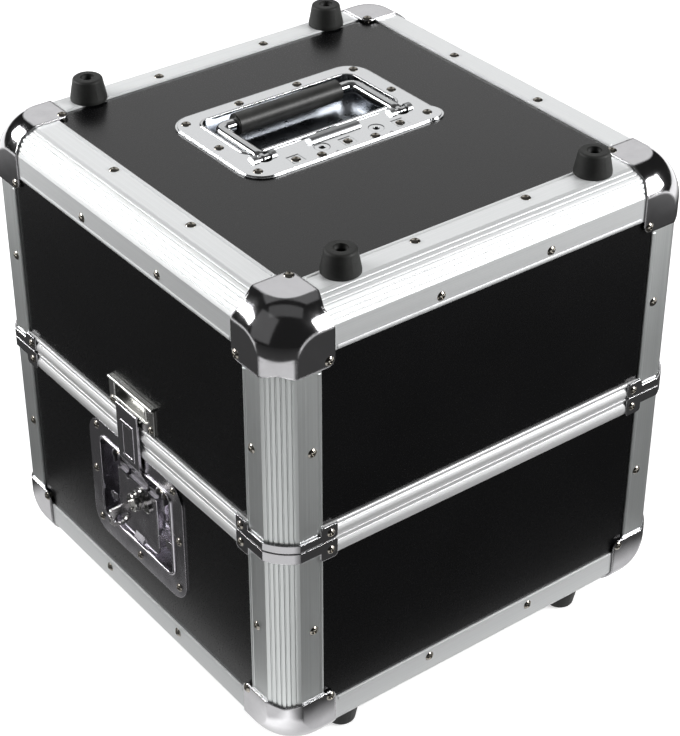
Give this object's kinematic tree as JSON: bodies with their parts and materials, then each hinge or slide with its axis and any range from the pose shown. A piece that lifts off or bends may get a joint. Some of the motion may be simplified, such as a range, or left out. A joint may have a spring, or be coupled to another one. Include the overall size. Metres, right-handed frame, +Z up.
{
  "type": "carrying case",
  "caption": "Cube-shaped hard carrying case with a lift-off hinged lid, ribbed metal edge rails, ball corners, recessed drop handle and recessed key latch.",
  "frame": {"origin": "centre of the bounding box on the plane under the rubber feet", "axes": "+Z up through the lid, -Y out of the latch face, +X to the right of someone facing the latch"},
  "size_m": [0.3668, 0.3984, 0.399],
  "materials": {
    "laminate": "black laminated board with a low satin sheen",
    "aluminium": "satin extruded aluminium",
    "chrome_corner": "bright pressed steel",
    "dark_plate": "pressed steel with a dark bright finish",
    "foot_rubber": "black rubber",
    "screw_steel": "plated steel",
    "rivet_steel": "plated steel",
    "hinge_steel": "plated steel",
    "latch_plate": "pressed steel with a dark bright finish",
    "lock_nickel": "nickel plated",
    "key_nickel": "nickel plated",
    "handle_chrome": "bright pressed steel",
    "bail_chrome": "bright steel rod",
    "grip_rubber": "black sleeve",
    "spring_steel": "spring steel"
  },
  "bodies": {
    "base": {"base_floor": "laminate", "base_panel_front": "laminate", "base_panel_right": "laminate", "base_panel_back": "laminate", "base_panel_left": "laminate", "base_rail_front": "aluminium", "base_rail_right": "aluminium", "base_rail_back": "aluminium", "base_rail_left": "aluminium", "base_posts": "aluminium", "base_closure_front": "aluminium", "base_closure_right": "aluminium", "base_closure_back": "aluminium", "base_closure_left": "aluminium", "base_corner_fl": "chrome_corner", "base_corner_fr": "chrome_corner", "base_corner_br": "chrome_corner", "base_corner_bl": "chrome_corner", "base_braces": "dark_plate", "base_feet": "foot_rubber", "base_foot_screws": "screw_steel", "base_rivets": "rivet_steel", "base_hinge_leaves": "hinge_steel", "hinge_pins": "rivet_steel", "latch_dish": "latch_plate", "latch_bracket": "latch_plate", "latch_rivets": "rivet_steel", "latch_pivots": "rivet_steel"},
    "lid": {"lid_top": "laminate", "lid_panel_front": "laminate", "lid_panel_right": "laminate", "lid_panel_back": "laminate", "lid_panel_left": "laminate", "lid_rail_front": "aluminium", "lid_rail_right": "aluminium", "lid_rail_back": "aluminium", "lid_rail_left": "aluminium", "lid_posts": "aluminium", "lid_closure_front": "aluminium", "lid_closure_right": "aluminium", "lid_closure_back": "aluminium", "lid_closure_left": "aluminium", "lid_corner_fl": "chrome_corner", "lid_corner_fr": "chrome_corner", "lid_corner_br": "chrome_corner", "lid_corner_bl": "chrome_corner", "lid_braces": "dark_plate", "lid_feet": "foot_rubber", "lid_foot_screws": "screw_steel", "lid_rivets": "rivet_steel", "lid_hinge_leaves": "hinge_steel", "keeper": "latch_plate", "handle_plate": "handle_chrome", "handle_spring": "spring_steel"},
    "latch_lever": {"latch_lever": "latch_plate", "lock_body": "lock_nickel"},
    "latch_link": {"latch_link": "latch_plate"},
    "lock_key": {"lock_key": "key_nickel"},
    "handle": {"handle_bail": "bail_chrome", "handle_grip": "grip_rubber"}
  },
  "joints": [
    {"name": "lid_hinge", "type": "hinge", "parent": "base", "child": "lid", "pos_m": [0, 0.19375, 0.1985], "axis": [-1, 0, 0], "range_deg": [0, 178]},
    {"name": "latch_lever", "type": "hinge", "parent": "base", "child": "latch_lever", "pos_m": [0, -0.16675, 0.1615], "axis": [-1, 0, 0], "range_deg": [0, 58]},
    {"name": "link_swing", "type": "hinge", "parent": "latch_lever", "child": "latch_link", "pos_m": [0, -0.16425, 0.155], "axis": [-1, 0, 0], "range_deg": [-66, 0]},
    {"name": "key_turn", "type": "hinge", "parent": "latch_lever", "child": "lock_key", "pos_m": [0.0065, -0.17225, 0.1443], "axis": [0, -1, 0], "range_deg": [0, 90]},
    {"name": "handle_swing", "type": "hinge", "parent": "lid", "child": "handle", "pos_m": [0, 0.00725, 0.381], "axis": [0, 1, 0], "range_deg": [0, 90], "stiffness_Nm_per_rad": 0.12, "springref_deg": -20.05}
  ],
  "couplings": [
    {"joint": "link_swing", "follows": "latch_lever", "ratio": -1.1}
  ]
}
